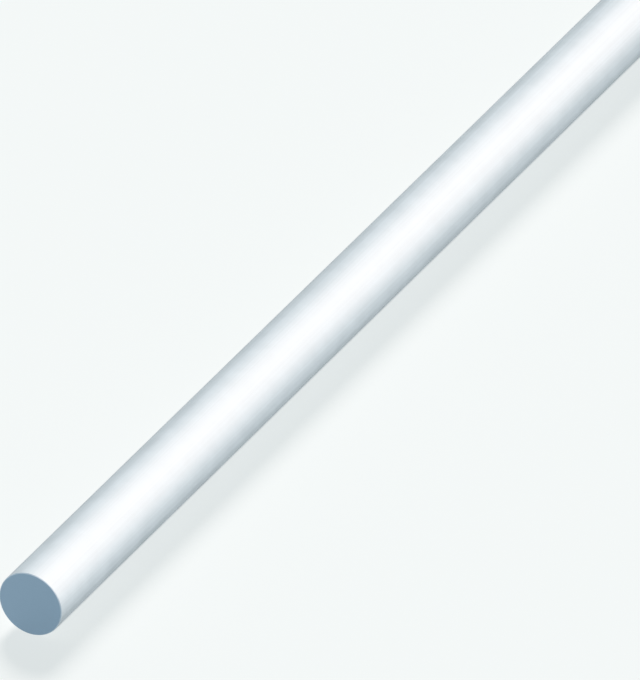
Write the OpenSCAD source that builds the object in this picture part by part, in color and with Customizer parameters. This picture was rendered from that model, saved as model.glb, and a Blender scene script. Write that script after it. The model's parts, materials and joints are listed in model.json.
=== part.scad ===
/* [Bar] */
// Outside diameter of the solid round section
bar_d = 20; // [4:0.5:60]
// Length from one sawn end to the other
bar_length = 1000; // [200:10:3000]

/* [Sawn ends] */
// Width of the 45 degree edge break filed round each end
edge_break = 0.2; // [0.1:0.1:1.5]

/* [Hidden] */

// Straight segments that draw the round section on screen
round_segments = 128;

bar_r = bar_d / 2;
end_face_r = bar_r - edge_break;

// Half of the lengthwise section, from the bar's axis outwards, with the first sawn end on the X axis
half_section = [
    [0, 0],
    [end_face_r, 0],
    [bar_r, edge_break],
    [bar_r, bar_length - edge_break],
    [end_face_r, bar_length],
    [0, bar_length],
];

// The bar lies along X on the floor, with its middle over the origin
module round_bar() {
    color("#c3cdd3")
        translate([-bar_length / 2, 0, bar_r])
            rotate([0, 90, 0])
                rotate_extrude($fn = round_segments)
                    polygon(half_section);
}

round_bar();
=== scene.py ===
"""A sawn length of solid round aluminium bar on a pale studio floor."""

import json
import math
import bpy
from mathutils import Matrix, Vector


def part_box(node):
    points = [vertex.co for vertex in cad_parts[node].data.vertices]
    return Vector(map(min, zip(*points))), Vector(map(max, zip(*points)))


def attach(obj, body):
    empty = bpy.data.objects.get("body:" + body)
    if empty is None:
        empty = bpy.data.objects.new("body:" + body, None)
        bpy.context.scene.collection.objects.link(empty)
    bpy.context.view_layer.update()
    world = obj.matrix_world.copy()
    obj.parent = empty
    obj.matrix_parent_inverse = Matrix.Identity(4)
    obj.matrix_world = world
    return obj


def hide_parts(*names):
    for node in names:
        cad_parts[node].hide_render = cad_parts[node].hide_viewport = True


bl_info = {
    "name": "Solid round aluminium bar",
    "version": (1, 0, 0),
    "blender": (4, 5, 0),
    "location": "3D View > Sidebar > Bar stock",
    "description": "Models a sawn length of solid round aluminium bar on a pale studio floor",
    "category": "Add Mesh",
}

import bmesh
import bpy
from bpy.props import FloatProperty, FloatVectorProperty, IntProperty, PointerProperty
from mathutils import Vector

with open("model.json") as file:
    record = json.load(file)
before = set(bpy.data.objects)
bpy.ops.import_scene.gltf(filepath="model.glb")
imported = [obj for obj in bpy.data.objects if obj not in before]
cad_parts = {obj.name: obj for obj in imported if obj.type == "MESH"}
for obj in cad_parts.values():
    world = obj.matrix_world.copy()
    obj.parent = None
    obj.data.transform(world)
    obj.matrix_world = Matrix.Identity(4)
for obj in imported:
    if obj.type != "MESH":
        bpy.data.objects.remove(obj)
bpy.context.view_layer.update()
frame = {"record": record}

MM = 0.001
BAR_NODE = "round_bar"
MOUNTS = {mount["name"]: mount for mount in frame["record"]["mounts"]}
OUTSIDE = MOUNTS["bar_outside"]["dims"]
CAD_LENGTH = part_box(BAR_NODE)[1].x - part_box(BAR_NODE)[0].x
CAD_DIAMETER = 2 * OUTSIDE["r_mm"] * MM
CAD_EDGE_BREAK = (CAD_LENGTH - OUTSIDE["length_mm"] * MM) / 2

PICTURE_WIDTH = 640
PICTURE_HEIGHT = 680
# Name given to the bar's UV map, the one meant for its texture maps
MAP_NAME = "OFBake"
# Two corners closer than this lie at the same place
NEARLY = 1e-6
# Share of a face's normal that lies along the bar: above the first the face is square to the bar,
# and between the two it slopes
SQUARE = 0.999
SLOPED = 0.1
# Widths of the rings of faces on a sawn end, as shares of the bar's radius
END_RINGS = (0.50, 0.25)
# Edges that bend more than this stay sharp
SHARP_BEND = math.radians(30.0)
# How many times as long as wide the die lines and the file marks are
LINE_STRETCH = 600
FILE_STRETCH = 30
# How many times as wide as the fine die lines the broad ones are
BROAD_LINE = 5
# How many saw marks wide the waver of the marks is, and how many marks it moves them by
WAVER_WIDTH = 8
WAVER = 1.6
# Depth of the die lines and of the saw marks, which the surface only seems to have
MARK_DEPTH = 0.05 * MM
# How far from the sawn ends the bar's contact shadow on the floor starts to fade out, and is gone; this
# fade is drawn along the bar, not cast
CONTACT_FADE = (8 * MM, 3 * MM)
# Rays that look for the bar close over a point of the floor
CONTACT_RAYS = 8


class BarSizes(bpy.types.PropertyGroup):
    """Sizes of the bar and of its mesh"""

    length: FloatProperty(
        name="Length",
        description="From one sawn end to the other",
        default=CAD_LENGTH,
        unit="LENGTH",
    )
    diameter: FloatProperty(
        name="Diameter",
        description="Outside of the round section",
        default=CAD_DIAMETER,
        unit="LENGTH",
    )
    edge_break: FloatProperty(
        name="Edge break",
        description="Width of the 45 degree edge filed round each sawn end",
        default=CAD_EDGE_BREAK,
        unit="LENGTH",
    )
    corner_round: FloatProperty(
        name="Corner round",
        description="How far the file softened the two corners of the edge break",
        default=0.05 * MM,
        precision=5,
        unit="LENGTH",
    )
    sides: IntProperty(
        name="Sides",
        description="Faces round the bar",
        default=256,
    )
    stations: IntProperty(
        name="Stations",
        description="Rings of faces along the bar",
        default=50,
    )


class BarFinish(bpy.types.PropertyGroup):
    """Colours and textures of the bar"""

    mill_light: FloatVectorProperty(
        name="Mill finish, light",
        description="Drawn surface between the die lines",
        default=(0.790, 0.872, 0.928),
        subtype="COLOR",
    )
    mill_dark: FloatVectorProperty(
        name="Mill finish, dark",
        description="Drawn surface along the die lines",
        default=(0.687, 0.758, 0.807),
        subtype="COLOR",
    )
    mill_roughness: FloatProperty(
        name="Mill roughness",
        description="Roughness of the drawn surface",
        default=0.58,
        subtype="FACTOR",
    )
    edge_tint: FloatProperty(
        name="Edge tint",
        description="Share of its shine that the drawn surface keeps where it turns away from the eye",
        default=0.0,
        subtype="FACTOR",
    )
    die_line: FloatProperty(
        name="Die line",
        description="Width of the fine lines that the die leaves along the bar",
        default=0.7 * MM,
        precision=5,
        unit="LENGTH",
    )
    mottle: FloatProperty(
        name="Mottle",
        description="Width of the faint cloudy patches on the drawn surface",
        default=5.5 * MM,
        precision=5,
        unit="LENGTH",
    )
    # The sawn ends' colours are painted shade: darker and bluer than the drawn side, because the ends
    # look shaded. Crest and valley differ by the saw marks.
    shaded_sawn_light: FloatVectorProperty(
        name="Sawn end, light",
        description="Crests of the saw marks",
        default=(0.303, 0.432, 0.551),
        subtype="COLOR",
    )
    shaded_sawn_dark: FloatVectorProperty(
        name="Sawn end, dark",
        description="Valleys of the saw marks",
        default=(0.263, 0.378, 0.482),
        subtype="COLOR",
    )
    sawn_roughness: FloatProperty(
        name="Sawn roughness",
        description="Roughness of the sawn ends",
        default=0.70,
        subtype="FACTOR",
    )
    saw_pitch: FloatProperty(
        name="Saw pitch",
        description="From one saw mark to the next",
        default=0.45 * MM,
        precision=5,
        unit="LENGTH",
    )
    blade_reach: FloatProperty(
        name="Blade reach",
        description="From the middle of the saw blade to the bar's axis, which curves the saw marks",
        default=122.0 * MM,
        unit="LENGTH",
    )
    blade_lean: FloatProperty(
        name="Blade lean",
        description="Turn of the saw blade's middle about the bar's axis, counted from +Z towards +Y",
        default=math.radians(35.0),
        subtype="ANGLE",
    )
    # The filed edges' colours are painted shade: dark blue-grey like the sawn ends, so that the rims
    # don't shine
    shaded_filed_light: FloatVectorProperty(
        name="Filed edge, light",
        description="Edge breaks between the file marks",
        default=(0.45, 0.55, 0.64),
        subtype="COLOR",
    )
    shaded_filed_dark: FloatVectorProperty(
        name="Filed edge, dark",
        description="Edge breaks along the file marks",
        default=(0.35, 0.45, 0.54),
        subtype="COLOR",
    )
    filed_roughness: FloatProperty(
        name="Filed roughness",
        description="Roughness of the edge breaks",
        default=0.30,
        subtype="FACTOR",
    )
    file_mark: FloatProperty(
        name="File mark",
        description="Length of the file marks round the rim",
        default=1.4 * MM,
        precision=5,
        unit="LENGTH",
    )


class StageSettings(bpy.types.PropertyGroup):
    """Floor, light and camera"""

    floor_size: FloatProperty(
        name="Floor",
        description="Side of the square floor",
        default=60.0,
        unit="LENGTH",
    )
    pale: FloatVectorProperty(
        name="Pale background",
        description="Colour of the floor and of the air above it",
        default=(0.906, 0.940, 0.935),
        subtype="COLOR",
    )
    own_light: FloatProperty(
        name="Own light of the floor",
        description="Share of the floor's brightness that the shadow doesn't take away",
        default=0.765,
        subtype="FACTOR",
    )
    contact_reach: FloatProperty(
        name="Contact reach",
        description="Distance from the floor within which the bar takes away the floor's own light",
        default=1.4 * MM,
        precision=5,
        unit="LENGTH",
    )
    ambient: FloatVectorProperty(
        name="Ambient",
        description="Even cool light from all round",
        default=(0.10, 0.19, 0.226),
        subtype="COLOR",
    )
    key_strength: FloatProperty(
        name="Key",
        description="Strength of the lamp behind the bar that casts its shadow",
        default=4.66,
    )
    key_colour: FloatVectorProperty(
        name="Key colour",
        description="Colour of the key",
        default=(1.0, 0.90, 0.86),
        subtype="COLOR",
    )
    key_azimuth: FloatProperty(
        name="Key azimuth",
        description="Heading of the key, counted from -Y towards +X",
        default=math.radians(115.5),
        subtype="ANGLE",
    )
    key_elevation: FloatProperty(
        name="Key elevation",
        description="Height of the key above the floor's horizon",
        default=math.radians(37.1),
        subtype="ANGLE",
    )
    key_spread: FloatProperty(
        name="Key spread",
        description="Angle that the key fills, which softens the shadow",
        default=math.radians(19.0),
        subtype="ANGLE",
    )
    sheen_strength: FloatProperty(
        name="Sheen",
        description="Strength of each of the two wide soft panels that the bar mirrors",
        default=1.01,
    )
    sheen_colour: FloatVectorProperty(
        name="Sheen colour",
        description="Colour of the soft panel, warm enough to whiten the bluish metal",
        default=(1.0, 0.72, 0.61),
        subtype="COLOR",
    )
    sheen_azimuth: FloatProperty(
        name="Sheen azimuth",
        description="Heading of one panel, counted from -Y towards +X; the other is its mirror image",
        default=math.radians(55.6),
        subtype="ANGLE",
    )
    sheen_elevation: FloatProperty(
        name="Sheen elevation",
        description="Height of the soft panel above the floor's horizon",
        default=math.radians(42.1),
        subtype="ANGLE",
    )
    sheen_spread: FloatProperty(
        name="Sheen spread",
        description="Angle that the soft panel fills",
        default=math.radians(85.0),
        subtype="ANGLE",
    )
    camera_azimuth: FloatProperty(
        name="Camera azimuth",
        description="Heading of the camera, counted from -Y towards +X",
        default=math.radians(-62.3),
        subtype="ANGLE",
    )
    camera_elevation: FloatProperty(
        name="Camera elevation",
        description="Height of the camera above the floor's horizon",
        default=math.radians(30.85),
        subtype="ANGLE",
    )
    camera_distance: FloatProperty(
        name="Camera distance",
        description="From the camera to the middle of the near sawn end, along the way it looks",
        default=8.03,
        unit="LENGTH",
    )
    near_end_x: FloatProperty(
        name="Near end across",
        description="Middle of the near sawn end in the picture, from its left edge",
        default=30.25,
        subtype="PIXEL",
    )
    near_end_y: FloatProperty(
        name="Near end down",
        description="Middle of the near sawn end in the picture, from its top edge",
        default=604.26,
        subtype="PIXEL",
    )
    lens: FloatProperty(
        name="Lens",
        description="Focal length in millimetres, so long that the bar's edges are almost parallel",
        default=1500.0,
    )
    sensor: FloatProperty(
        name="Sensor",
        description="Long side of the sensor in millimetres",
        default=36.0,
    )


class Wire:
    """A node's output. Arithmetic on it adds Math nodes to its board."""

    def __init__(self, board, socket):
        self.board = board
        self.socket = socket

    def maths(self, operation, first, second):
        return self.board.add("ShaderNodeMath", {"operation": operation}, {0: first, 1: second})

    def __add__(self, other):
        return self.maths("ADD", self, other)

    def __radd__(self, other):
        return self.maths("ADD", other, self)

    def __sub__(self, other):
        return self.maths("SUBTRACT", self, other)

    def __rsub__(self, other):
        return self.maths("SUBTRACT", other, self)

    def __mul__(self, other):
        return self.maths("MULTIPLY", self, other)

    def __rmul__(self, other):
        return self.maths("MULTIPLY", other, self)

    def __truediv__(self, other):
        return self.maths("DIVIDE", self, other)

    def __rtruediv__(self, other):
        return self.maths("DIVIDE", other, self)

    def __pow__(self, other):
        return self.maths("POWER", self, other)

    def __rpow__(self, other):
        return self.maths("POWER", other, self)


class Board:
    """The node tree of a material or a world, filled one node at a time."""

    def __init__(self, owner):
        owner.use_nodes = True
        self.tree = owner.node_tree
        self.tree.nodes.clear()

    def add(self, kind, settings=None, sockets=None, output=0):
        """Adds a node, gives it its settings and then its values or links, and returns one output."""
        node = self.tree.nodes.new(kind)
        for name, value in (settings or {}).items():
            setattr(node, name, value)
        for key, value in (sockets or {}).items():
            if isinstance(value, Wire):
                self.tree.links.new(value.socket, node.inputs[key])
            else:
                node.inputs[key].default_value = value
        return Wire(self, node.outputs[output]) if node.outputs else None

    def blend(self, factor, first, second):
        """A colour between two colours."""
        return self.add("ShaderNodeMix", {"data_type": "RGBA"}, {0: factor, 6: first, 7: second}, 2)

    def noise(self, place, size, detail, roughness=0.5):
        """A cloudy pattern from 0 to 1 with patches of about one size."""
        sockets = {"Vector": place, "Scale": 1 / size, "Detail": detail, "Roughness": roughness}
        return self.add("ShaderNodeTexNoise", None, sockets)

    def stretch(self, place, times):
        """Coordinates in which a pattern is drawn out that many times along the bar."""
        return self.add("ShaderNodeMapping", None, {"Vector": place, "Scale": (1 / times, 1.0, 1.0)})

    def spread(self, value):
        """The middle of a cloudy pattern's range, widened to 0 to 1."""
        return self.add("ShaderNodeMapRange", None, {"Value": value, "From Min": 0.3, "From Max": 0.7})

    def relief(self, height, strength):
        """A normal that follows fine marks."""
        sockets = {"Strength": strength, "Distance": MARK_DEPTH, "Height": height}
        return self.add("ShaderNodeBump", None, sockets)

    def bare_metal(self, sockets):
        """Ends a material in a metal surface."""
        metal = self.add("ShaderNodeBsdfPrincipled", None, {"Metallic": 1.0, **sockets})
        self.add("ShaderNodeOutputMaterial", None, {"Surface": metal})

    def shown_rays(self):
        """1 for the rays that show a background: straight to the camera, mirrored or through glass."""
        kinds = ("Is Camera Ray", "Is Glossy Ray", "Is Transmission Ray")
        camera, glossy, through = (self.add("ShaderNodeLightPath", output=kind) for kind in kinds)
        return camera + glossy + through


def opaque(colour):
    """A colour with its alpha, as a colour socket takes it."""
    return (*colour, 1.0)


def compass(azimuth, elevation):
    """Unit vector to a point on the sky. Azimuth 0 lies along -Y and 90 degrees along +X."""
    level = math.cos(elevation)
    return Vector((math.sin(azimuth) * level, -math.cos(azimuth) * level, math.sin(elevation)))


def facing(direction):
    """Rotation of a lamp or camera that looks along a direction."""
    return direction.to_track_quat("-Z", "Y").to_euler()


def new_material(name):
    """A material and the board of its nodes."""
    material = bpy.data.materials.new(name)
    return material, Board(material)


def swing(pattern, width):
    """A pattern from 0 to 1, turned into a swing of that width about zero."""
    return width * (pattern - 0.5)


def mill_finish(finish):
    """Drawn aluminium: satin metal with faint lines along the bar and a little mottling."""
    material, board = new_material("drawn mill finish")
    place = board.add("ShaderNodeTexCoord", output="Object")
    along = board.stretch(place, LINE_STRETCH)
    fine = board.noise(along, finish.die_line, detail=3.0, roughness=0.6)
    broad = board.noise(along, BROAD_LINE * finish.die_line, detail=1.0)
    mottle = board.noise(place, finish.mottle, detail=2.0)
    fine_share = 0.55
    lines = fine_share * fine + (1 - fine_share) * broad
    line_share = 0.75
    shade = board.spread(line_share * lines + (1 - line_share) * mottle)
    board.bare_metal(
        {
            "Base Color": board.blend(shade, opaque(finish.mill_dark), opaque(finish.mill_light)),
            "Roughness": finish.mill_roughness + swing(lines, 0.16) + swing(mottle, 0.08),
            "Specular Tint": opaque((finish.edge_tint,) * 3),
            "Normal": board.relief(lines, strength=0.25),
        }
    )
    return material


def sawn_finish_and_shade(finish, axis_height):
    """Sawn end: matt metal with the shallow arcs that a saw blade leaves, coloured dark blue-grey as
    painted shade.
    """
    material, board = new_material("sawn end")
    place = board.add("ShaderNodeTexCoord", output="Object")
    across = board.add("ShaderNodeSeparateXYZ", None, {"Vector": place}, "Y")
    upward = board.add("ShaderNodeSeparateXYZ", None, {"Vector": place}, "Z")
    waver = board.noise(place, WAVER_WIDTH * finish.saw_pitch, detail=2.0)
    grit = board.noise(place, finish.saw_pitch, detail=2.0)
    blade_y = finish.blade_reach * math.sin(finish.blade_lean)
    blade_z = finish.blade_reach * math.cos(finish.blade_lean) + axis_height
    from_blade = ((across - blade_y) ** 2 + (upward - blade_z) ** 2) ** 0.5
    turns = from_blade / finish.saw_pitch + WAVER * waver
    mark = board.add("ShaderNodeMath", {"operation": "SINE"}, {0: turns * math.tau})
    crest = 0.5 + 0.35 * mark + swing(grit, 0.3)
    board.bare_metal(
        {
            # Saw marks over a dark blue-grey that is painted shade
            "Base Color": board.blend(crest, opaque(finish.shaded_sawn_dark), opaque(finish.shaded_sawn_light)),
            "Roughness": finish.sawn_roughness + swing(crest, 0.10),
            "Normal": board.relief(crest, strength=0.3),
        }
    )
    return material


def filed_finish_and_shade(finish):
    """Filed edge: dull metal with fine file marks that run round the rim, darkened with painted shade
    towards the tone of the sawn ends.
    """
    material, board = new_material("filed edge")
    place = board.add("ShaderNodeTexCoord", output="Object")
    mark = board.noise(board.stretch(place, 1 / FILE_STRETCH), finish.file_mark, detail=2.0)
    shade = board.spread(mark)
    board.bare_metal(
        {
            # File marks over a dark blue-grey that is painted shade
            "Base Color": board.blend(shade, opaque(finish.shaded_filed_dark), opaque(finish.shaded_filed_light)),
            "Roughness": finish.filed_roughness + swing(mark, 0.12),
        }
    )
    return material


def choose(bar, kind, wanted):
    """Selects the bar's faces or edges that pass a test, in edit mode."""
    bpy.ops.mesh.select_mode(type=kind)
    bpy.ops.mesh.select_all(action="DESELECT")
    mesh = bmesh.from_edit_mesh(bar.data)
    found = 0
    for item in mesh.faces if kind == "FACE" else mesh.edges:
        if wanted(item):
            item.select_set(True)
            found += 1
    bmesh.update_edit_mesh(bar.data)
    if not found:
        raise RuntimeError(f"{bar.name}: no {kind.lower()} to work on")


def span(edge):
    """How far an edge reaches along the bar, and how far from the bar's middle it starts."""
    first, second = (corner.co.x for corner in edge.verts)
    return abs(first - second), min(abs(first), abs(second))


def model_bar(sizes):
    """A cylinder cut to length, its rims broken and softened, then divided along its length."""
    radius = sizes.diameter / 2
    half = sizes.length / 2
    bpy.ops.object.select_all(action="DESELECT")
    bpy.ops.mesh.primitive_cylinder_add(
        vertices=sizes.sides,
        radius=radius,
        depth=sizes.length,
        end_fill_type="NGON",
        calc_uvs=True,
        location=(0.0, 0.0, radius),
        rotation=(0.0, math.pi / 2, 0.0),
    )
    bar = bpy.context.object
    bar.name = "sawn_round_bar"
    bar.data.name = bar.name
    bar.data.uv_layers[0].name = MAP_NAME
    bpy.ops.object.transform_apply(location=True, rotation=True, scale=True)
    bpy.ops.object.mode_set(mode="EDIT")

    # The edge break: each rim becomes a 45 degree face
    choose(bar, "EDGE", lambda edge: span(edge)[0] < NEARLY and span(edge)[1] > half - NEARLY)
    bpy.ops.mesh.bevel(offset=sizes.edge_break, segments=1, affect="EDGES")

    # Its two corners are softened
    break_start = half - sizes.edge_break - NEARLY
    choose(bar, "EDGE", lambda edge: span(edge)[0] < NEARLY and span(edge)[1] > break_start)
    bpy.ops.mesh.bevel(offset=sizes.corner_round, segments=2, affect="EDGES")

    # Stations along the length
    choose(bar, "EDGE", lambda edge: span(edge)[0] > half)
    bpy.ops.mesh.subdivide(number_cuts=sizes.stations - 1)

    # Rings on the sawn ends, closed at the middle
    choose(bar, "FACE", lambda face: abs(face.normal.x) > SQUARE)
    for share in END_RINGS:
        bpy.ops.mesh.inset(thickness=share * radius)
    bpy.ops.mesh.poke()
    bpy.ops.object.mode_set(mode="OBJECT")

    # Smooth shading in which the wide faces stay true and only the narrow ones at the rims turn
    bpy.ops.object.shade_smooth_by_angle(angle=SHARP_BEND)
    bpy.ops.object.modifier_add(type="WEIGHTED_NORMAL")
    bpy.ops.object.modifier_apply(modifier=bar.modifiers[-1].name)
    return bar


def dress(bar, sizes, finish):
    """Gives the drawn side, the sawn ends and the filed edges their finishes, with painted shade on the
    sawn ends and the filed edges.
    """
    finishes = (
        mill_finish(finish),
        sawn_finish_and_shade(finish, sizes.diameter / 2),
        filed_finish_and_shade(finish),
    )
    for material in finishes:
        bar.data.materials.append(material)
    break_start = sizes.length / 2 - sizes.edge_break - NEARLY

    def is_sawn(face):
        return abs(face.normal.x) > SQUARE

    def is_filed(face):
        slopes = SLOPED < abs(face.normal.x) < SQUARE
        return slopes and abs(face.calc_center_median().x) > break_start

    # Every face starts as drawn
    tests = (lambda face: True, is_sawn, is_filed)
    bpy.ops.object.mode_set(mode="EDIT")
    for slot, test in enumerate(tests):
        choose(bar, "FACE", test)
        bar.active_material_index = slot
        bpy.ops.object.material_slot_assign()
    bpy.ops.object.mode_set(mode="OBJECT")


class BARSTOCK_OT_round_bar(bpy.types.Operator):
    """Model the sawn round bar, give it its finishes and put it in the place of the plain one"""

    bl_idname = "barstock.round_bar"
    bl_label = "Round bar"

    def execute(self, context):
        sizes = context.scene.bar_sizes
        bar = model_bar(sizes)
        dress(bar, sizes, context.scene.bar_finish)
        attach(bar, "root")
        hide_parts(BAR_NODE)
        return {"FINISHED"}


def lay_floor(stage, bar_length):
    """A large even floor. Part of its brightness is its own, apart from close under the bar.

    The rest is lit and keeps the bar's shadow.
    """
    bpy.ops.mesh.primitive_plane_add(size=stage.floor_size)
    floor = bpy.context.object
    floor.name = "pale_floor"
    material, board = new_material("pale floor")
    pale = opaque(stage.pale)
    lit = board.add("ShaderNodeBsdfDiffuse", None, {"Color": pale})
    own = board.add("ShaderNodeEmission", None, {"Color": pale, "Strength": 1.0})
    place = board.add("ShaderNodeTexCoord", output="Object")
    along = board.add("ShaderNodeSeparateXYZ", None, {"Vector": place}, "X")
    # The contact shadow comes from the bar's closeness to the floor. A fade drawn along the bar removes
    # it near the sawn ends.
    from_middle = board.add("ShaderNodeMath", {"operation": "ABSOLUTE"}, {0: along})
    fade_start, fade_end = (bar_length / 2 - inset for inset in CONTACT_FADE)
    fade = {"Value": from_middle, "From Min": fade_start, "From Max": fade_end}
    near_end = board.add("ShaderNodeMapRange", None, fade)
    reach = {"Distance": stage.contact_reach}
    clear = board.add("ShaderNodeAmbientOcclusion", {"samples": CONTACT_RAYS}, reach, "AO")
    covered = (1 - near_end) * (1 - clear)
    own_share = stage.own_light * (1 - covered) * board.shown_rays()
    seen = board.add("ShaderNodeMixShader", None, {0: own_share, 1: lit, 2: own})
    board.add("ShaderNodeOutputMaterial", None, {"Surface": seen})
    floor.data.materials.append(material)


def fill_air(stage):
    """Pale air behind everything, which lights the floor only a little."""
    world = bpy.data.worlds.new("pale air")
    bpy.context.scene.world = world
    board = Board(world)
    ambient = board.add("ShaderNodeBackground", None, {"Color": opaque(stage.ambient), "Strength": 1.0})
    pale = board.add("ShaderNodeBackground", None, {"Color": opaque(stage.pale), "Strength": 1.0})
    seen = board.add("ShaderNodeMixShader", None, {0: board.shown_rays(), 1: ambient, 2: pale})
    board.add("ShaderNodeOutputWorld", None, {"Surface": seen})


def hang_lamp(stage, name, side=1):
    """A soft lamp so far away that it lights the whole bar alike.

    Side -1 mirrors its place from +X to -X.
    """
    towards = compass(side * getattr(stage, name + "_azimuth"), getattr(stage, name + "_elevation"))
    bpy.ops.object.light_add(type="SUN", rotation=facing(-towards))
    lamp = bpy.context.object
    lamp.name = name
    lamp.data.energy = getattr(stage, name + "_strength")
    lamp.data.color = getattr(stage, name + "_colour")
    lamp.data.angle = getattr(stage, name + "_spread")
    return lamp


def stand_camera(stage, near_end):
    """A long-lens camera that sees the middle of the near sawn end at its place in the picture."""
    look = -compass(stage.camera_azimuth, stage.camera_elevation)
    bpy.ops.object.camera_add(rotation=facing(look))
    camera = bpy.context.object
    camera.name = "camera"
    camera.data.lens = stage.lens
    camera.data.sensor_width = stage.sensor
    pixels_per_metre = stage.lens / stage.sensor * PICTURE_HEIGHT / stage.camera_distance
    right = look.cross(Vector((0.0, 0.0, 1.0))).normalized()
    up = right.cross(look)
    to_middle_x = (PICTURE_WIDTH / 2 - stage.near_end_x) / pixels_per_metre
    to_middle_y = (stage.near_end_y - PICTURE_HEIGHT / 2) / pixels_per_metre
    camera.location = near_end + right * to_middle_x + up * to_middle_y - look * stage.camera_distance
    bpy.context.scene.camera = camera


class BARSTOCK_OT_stage(bpy.types.Operator):
    """Lay the pale floor, hang the soft lamps and stand the camera"""

    bl_idname = "barstock.stage"
    bl_label = "Stage"

    def execute(self, context):
        stage = context.scene.bar_stage
        sizes = context.scene.bar_sizes
        lay_floor(stage, sizes.length)
        fill_air(stage)
        key = hang_lamp(stage, "key")
        key.visible_glossy = False
        for side in (1, -1):
            sheen = hang_lamp(stage, "sheen", side)
            sheen.visible_diffuse = False
        stand_camera(stage, Vector((-sizes.length / 2, 0.0, sizes.diameter / 2)))
        context.scene.view_settings.view_transform = "Standard"
        return {"FINISHED"}


class BARSTOCK_PT_sidebar(bpy.types.Panel):
    """Lists the bar, the stage and their settings in the sidebar"""

    bl_idname = "BARSTOCK_PT_sidebar"
    bl_label = "Bar stock"
    bl_space_type = "VIEW_3D"
    bl_region_type = "UI"
    bl_category = "Bar stock"

    def draw(self, context):
        scene = context.scene
        rows = (
            (BARSTOCK_OT_round_bar, (scene.bar_sizes, scene.bar_finish)),
            (BARSTOCK_OT_stage, (scene.bar_stage,)),
        )
        for operator, groups in rows:
            box = self.layout.box()
            box.operator(operator.bl_idname)
            for group in groups:
                for name in group.__annotations__:
                    box.prop(group, name)


CLASSES = (
    BarSizes,
    BarFinish,
    StageSettings,
    BARSTOCK_OT_round_bar,
    BARSTOCK_OT_stage,
    BARSTOCK_PT_sidebar,
)


def register():
    for cls in CLASSES:
        bpy.utils.register_class(cls)
    bpy.types.Scene.bar_sizes = PointerProperty(type=BarSizes)
    bpy.types.Scene.bar_finish = PointerProperty(type=BarFinish)
    bpy.types.Scene.bar_stage = PointerProperty(type=StageSettings)


def unregister():
    del bpy.types.Scene.bar_stage
    del bpy.types.Scene.bar_finish
    del bpy.types.Scene.bar_sizes
    for cls in reversed(CLASSES):
        bpy.utils.unregister_class(cls)


def main():
    register()
    bpy.ops.barstock.round_bar()
    bpy.ops.barstock.stage()


if __name__ == "__main__":
    main()
